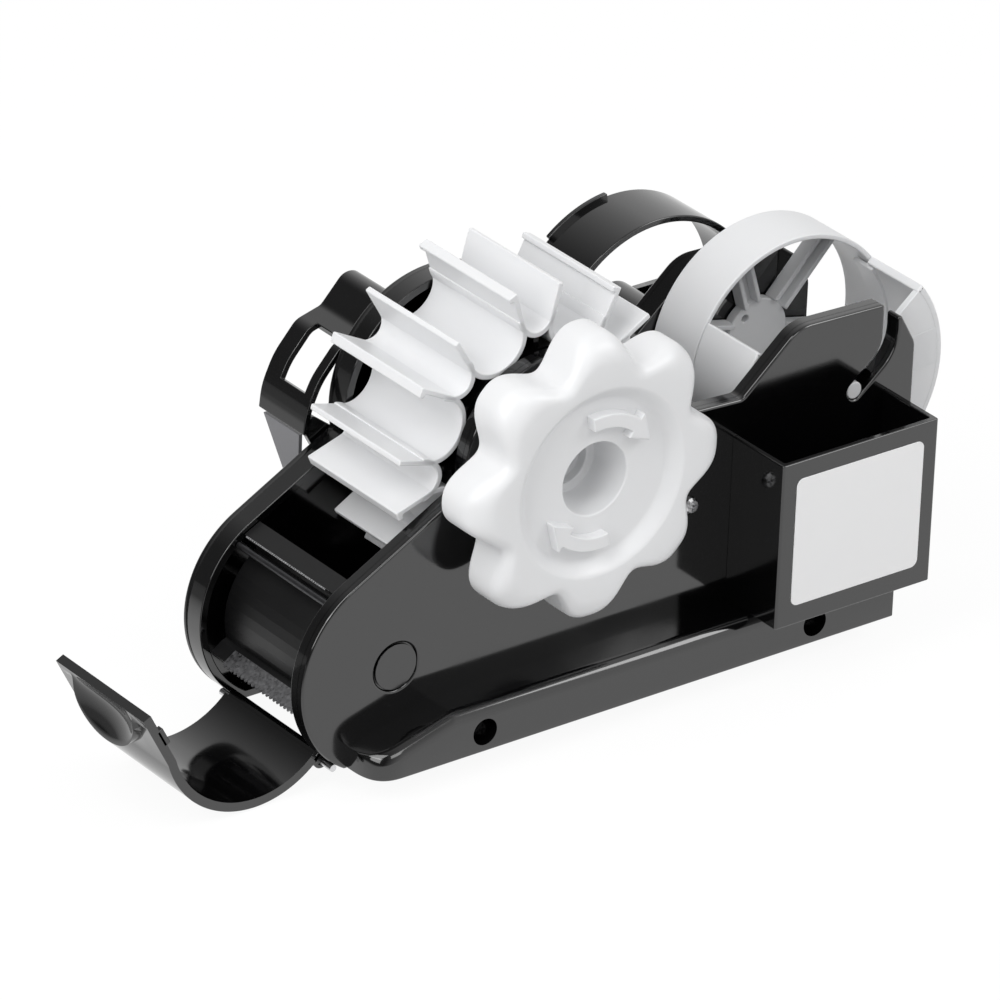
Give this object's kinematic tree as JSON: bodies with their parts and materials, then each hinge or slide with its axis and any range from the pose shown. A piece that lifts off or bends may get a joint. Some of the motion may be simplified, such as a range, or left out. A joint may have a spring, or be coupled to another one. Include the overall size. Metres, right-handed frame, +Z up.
{
  "type": "tape dispenser",
  "caption": "Multi-roll tape dispenser with a knob-turned wheel of white troughs, serrated blades behind a hinged front cover, a pen box and a guide arm.",
  "frame": {"origin": "middle of the model's bounding box, at the underside of the rubber feet", "axes": "+X to the rear, away from the nose; +Y to the left, away from the knob; +Z up"},
  "size_m": [0.2866, 0.1068, 0.1408],
  "materials": {
    "black": "glossy black moulded plastic",
    "white": "satin white moulded plastic",
    "light_grey": "satin light grey moulded plastic",
    "steel": "bright stamped or turned steel",
    "rubber": "matt black rubber",
    "label": "bare white label film"
  },
  "bodies": {
    "base": {"right_side_plate": "black", "left_side_plate": "black", "base_floor": "black", "side_rod": "black", "tail_rod": "black", "nose_rod": "black", "nose_chute": "black", "guide_arm": "black", "pen_box": "black", "wheel_bush_right": "light_grey", "wheel_bush_left": "light_grey", "side_core_axle": "light_grey", "arm_gusset": "light_grey", "upper_blade": "steel", "lower_blade": "steel", "upper_blade_bar": "steel", "cover_hinge_pin": "steel", "roller_pin": "steel", "arm_screw_upper": "steel", "arm_screw_lower": "steel", "side_rod_screw_left": "steel", "side_rod_screw_right": "steel", "tail_rod_screw_left": "steel", "nose_rod_screw_left": "steel", "foot_screw_front_left": "steel", "foot_screw_front_right": "steel", "foot_screw_rear_left": "steel", "foot_screw_rear_right": "steel", "rubber_foot_front_left": "rubber", "rubber_foot_front_right": "rubber", "rubber_foot_rear_left": "rubber", "rubber_foot_rear_right": "rubber", "label_plate": "label"},
    "wheel": {"paddle_1": "white", "paddle_2": "white", "paddle_3": "white", "paddle_4": "white", "paddle_5": "white", "paddle_6": "white", "paddle_7": "white", "paddle_8": "white", "wheel_core": "light_grey", "wheel_shaft": "steel", "shaft_clip": "steel", "knob": "white", "knob_screw": "steel"},
    "cover": {"front_cover": "black"},
    "roll_core": {"core_left_half": "light_grey", "core_right_half": "light_grey"},
    "outer_core": {"side_core": "black"},
    "roller": {"guide_roller": "light_grey"}
  },
  "joints": [
    {"name": "wheel_turn", "type": "hinge", "parent": "base", "child": "wheel", "pos_m": [-0.0073, -0.00075, 0.0905], "axis": [0, 1, 0], "continuous": true},
    {"name": "cover_hinge", "type": "hinge", "parent": "base", "child": "cover", "pos_m": [-0.081, -0.00075, 0.0089], "axis": [0, 1, 0], "range_deg": [0, 71]},
    {"name": "roll_core_turn", "type": "hinge", "parent": "base", "child": "roll_core", "pos_m": [0.1055, -0.00075, 0.0788], "axis": [0, 1, 0], "continuous": true},
    {"name": "outer_core_turn", "type": "hinge", "parent": "base", "child": "outer_core", "pos_m": [0.0773, 0.04215, 0.0798], "axis": [0, 1, 0], "continuous": true},
    {"name": "guide_roller_turn", "type": "hinge", "parent": "base", "child": "roller", "pos_m": [-0.0197, 0.04185, 0.1125], "axis": [0, 1, 0], "continuous": true}
  ]
}
